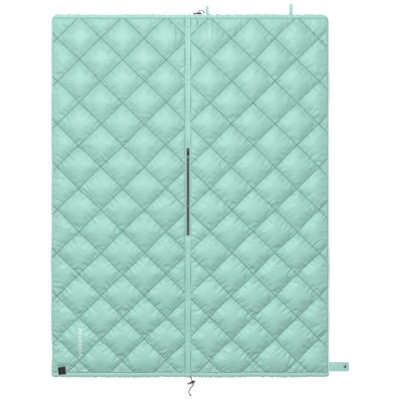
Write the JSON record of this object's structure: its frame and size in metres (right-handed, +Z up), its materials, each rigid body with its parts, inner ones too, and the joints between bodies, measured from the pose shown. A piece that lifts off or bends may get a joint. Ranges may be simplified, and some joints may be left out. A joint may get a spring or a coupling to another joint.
{
  "type": "camp blanket",
  "caption": "Flat quilted camp blanket with a zipped head slit, drawcord hems with cord locks, hang loops and a snap tab.",
  "frame": {"origin": "centre of the blanket's underside, on the surface it lies on", "axes": "+X to the blanket's right edge, +Y to its top edge with the hang loops, +Z up out of its quilted front"},
  "size_m": [1.424, 1.8729, 0.024],
  "materials": {
    "shell_fabric": "satin taffeta",
    "lining_fabric": "matt taffeta",
    "batting": "fibre",
    "zip_tape": "woven tape",
    "zip_coil": "moulded coil",
    "zip_metal": "polished die casting",
    "cord": "braided",
    "black_plastic": "fine moulded grain",
    "spring_steel": "bright wire",
    "patch_fabric": "woven"
  },
  "bodies": {
    "right_half": {"front_right": "shell_fabric", "lining_right": "lining_fabric", "fill_right": "batting", "edge_tape_right": "lining_fabric", "hem_top_right": "shell_fabric", "hem_bottom_right": "shell_fabric", "bartack_top_right": "cord", "bartack_bottom_right": "cord", "drawcord_top_middle": "cord", "drawcord_top_right": "cord", "drawcord_bottom_middle": "cord", "drawcord_bottom_right": "cord", "cord_eyelet_top": "black_plastic", "cord_eyelet_bottom": "black_plastic", "tail_top_a": "cord", "tail_top_b": "cord", "tail_bottom_a": "cord", "tail_bottom_b": "cord", "cord_end_top": "black_plastic", "cord_end_bottom": "black_plastic", "centre_strip": "shell_fabric", "centre_lining": "lining_fabric", "zip_tape_left": "zip_tape", "zip_tape_right": "zip_tape", "zip_coil_left": "zip_coil", "zip_coil_right": "zip_coil", "zip_top_stop": "zip_metal", "zip_bottom_stop": "zip_metal"},
    "left_half": {"front_left": "shell_fabric", "lining_left": "lining_fabric", "fill_left": "batting", "edge_tape_left": "lining_fabric", "hem_top_left": "shell_fabric", "hem_bottom_left": "shell_fabric", "bartack_top_left": "cord", "bartack_bottom_left": "cord", "drawcord_top_left": "cord", "drawcord_bottom_left": "cord", "corner_patch": "patch_fabric", "patch_snap_stud": "black_plastic"},
    "zip_slider": {"zip_slider": "zip_metal"},
    "zip_pull": {"zip_pull": "zip_metal"},
    "lock_top": {"lock_body_top": "black_plastic", "lock_spring_top": "spring_steel"},
    "plunger_top": {"lock_plunger_top": "black_plastic"},
    "lock_bottom": {"lock_body_bottom": "black_plastic", "lock_spring_bottom": "spring_steel"},
    "plunger_bottom": {"lock_plunger_bottom": "black_plastic"},
    "loop_left": {"hang_loop_left": "shell_fabric"},
    "loop_right": {"hang_loop_right": "shell_fabric"},
    "snap_tab": {"snap_tab": "shell_fabric", "tab_snap_cap": "zip_metal", "tab_snap_socket": "zip_metal"}
  },
  "joints": [
    {"name": "fold_over", "type": "hinge", "parent": "right_half", "child": "left_half", "pos_m": [-0.0235, 0, 0.0255], "axis": [0, 1, 0], "range_deg": [0, 180]},
    {"name": "zip_slide", "type": "slide", "parent": "right_half", "child": "zip_slider", "axis": [0, -1, 0], "range_m": [0, 0.384]},
    {"name": "zip_pull_flip", "type": "hinge", "parent": "zip_slider", "child": "zip_pull", "pos_m": [-0.0095, 0.207, 0.0075], "axis": [-1, 0, 0], "range_deg": [0, 180]},
    {"name": "lock_top_slide", "type": "slide", "parent": "right_half", "child": "lock_top", "axis": [0, 1, 0], "range_m": [0, 0.004]},
    {"name": "plunger_top_press", "type": "slide", "parent": "lock_top", "child": "plunger_top", "axis": [1, 0, 0], "range_m": [0, 0.004], "stiffness_N_per_m": 600, "springref_m": -0.003, "deforming": ["lock_spring_top"]},
    {"name": "lock_bottom_slide", "type": "slide", "parent": "right_half", "child": "lock_bottom", "axis": [-0.342, 0.9397, 0], "range_m": [0, 0.017]},
    {"name": "plunger_bottom_press", "type": "slide", "parent": "lock_bottom", "child": "plunger_bottom", "axis": [0.9397, 0.342, 0], "range_m": [0, 0.004], "stiffness_N_per_m": 600, "springref_m": -0.003, "deforming": ["lock_spring_bottom"]},
    {"name": "loop_left_flip", "type": "hinge", "parent": "right_half", "child": "loop_left", "pos_m": [0.081, 0.866, 0.0095], "axis": [-1, 0, 0], "range_deg": [-150, 0]},
    {"name": "loop_right_flip", "type": "hinge", "parent": "right_half", "child": "loop_right", "pos_m": [0.481, 0.866, 0.0095], "axis": [-1, 0, 0], "range_deg": [-150, 0]},
    {"name": "tab_fold", "type": "hinge", "parent": "right_half", "child": "snap_tab", "pos_m": [0.6662, -0.816, 0.0075], "axis": [0, -1, 0], "range_deg": [0, 168]}
  ]
}
